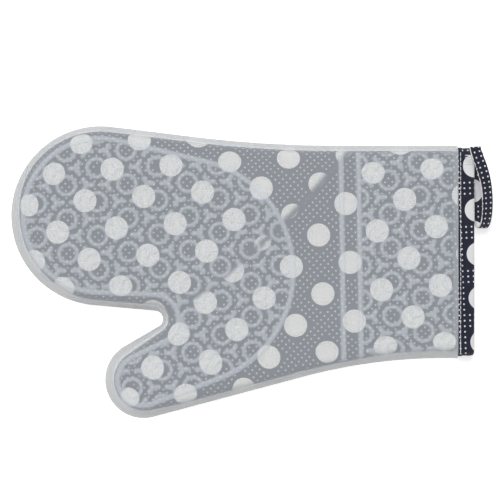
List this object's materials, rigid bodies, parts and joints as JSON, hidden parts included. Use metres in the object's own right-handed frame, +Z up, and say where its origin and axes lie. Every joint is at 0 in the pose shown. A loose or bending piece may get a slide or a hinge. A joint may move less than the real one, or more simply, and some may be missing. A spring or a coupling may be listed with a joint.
{
  "type": "oven mitt",
  "caption": "Silicone oven mitt with a padded cotton lining, bound cuff and hanging loop; the fingers and thumb bend and the loop swings.",
  "frame": {"origin": "on the table under the middle of the whole mitt, loop included", "axes": "+X from the fingers to the cuff, +Z up through the palm side, the mitt lying on its back"},
  "size_m": [0.3338, 0.202, 0.026],
  "materials": {
    "silicone": "translucent milky, satin, moulded relief",
    "printed_cotton": "plain weave, navy with white dots and pin dots",
    "wadding": "matt fleece",
    "inner_cotton": "plain weave, white",
    "thread": "twisted polyester thread, white"
  },
  "bodies": {
    "hand": {"silicone_hand": "silicone", "print_palm_hand": "printed_cotton", "print_back_hand": "printed_cotton", "wadding_palm_hand": "wadding", "wadding_back_hand": "wadding", "inner_palm_hand": "inner_cotton", "inner_back_hand": "inner_cotton", "seam_hand": "thread", "cuff_binding": "printed_cotton", "binding_topstitch": "thread", "loop_bartack": "thread"},
    "fingers": {"silicone_fingers": "silicone", "print_palm_fingers": "printed_cotton", "print_back_fingers": "printed_cotton", "wadding_palm_fingers": "wadding", "wadding_back_fingers": "wadding", "inner_palm_fingers": "inner_cotton", "inner_back_fingers": "inner_cotton", "seam_fingers": "thread"},
    "thumb": {"silicone_thumb": "silicone", "print_palm_thumb": "printed_cotton", "print_back_thumb": "printed_cotton", "wadding_palm_thumb": "wadding", "wadding_back_thumb": "wadding", "inner_palm_thumb": "inner_cotton", "inner_back_thumb": "inner_cotton", "seam_thumb": "thread"},
    "loop": {"hanging_loop": "printed_cotton", "loop_edge_stitch": "thread"}
  },
  "joints": [
    {"name": "finger_flex", "type": "hinge", "parent": "hand", "child": "fingers", "pos_m": [-0.08088, 0.039, 0.026], "axis": [0, 1, 0], "range_deg": [0, 60], "stiffness_Nm_per_rad": 0.08},
    {"name": "thumb_flex", "type": "hinge", "parent": "hand", "child": "thumb", "pos_m": [-0.05952, -0.0671, 0.026], "axis": [-0.4226, 0.9063, 0], "range_deg": [0, 50], "stiffness_Nm_per_rad": 0.05},
    {"name": "loop_swing", "type": "hinge", "parent": "hand", "child": "loop", "pos_m": [0.15327, 0.0834, 0.013], "axis": [0, 0, 1], "range_deg": [0, 90]}
  ]
}
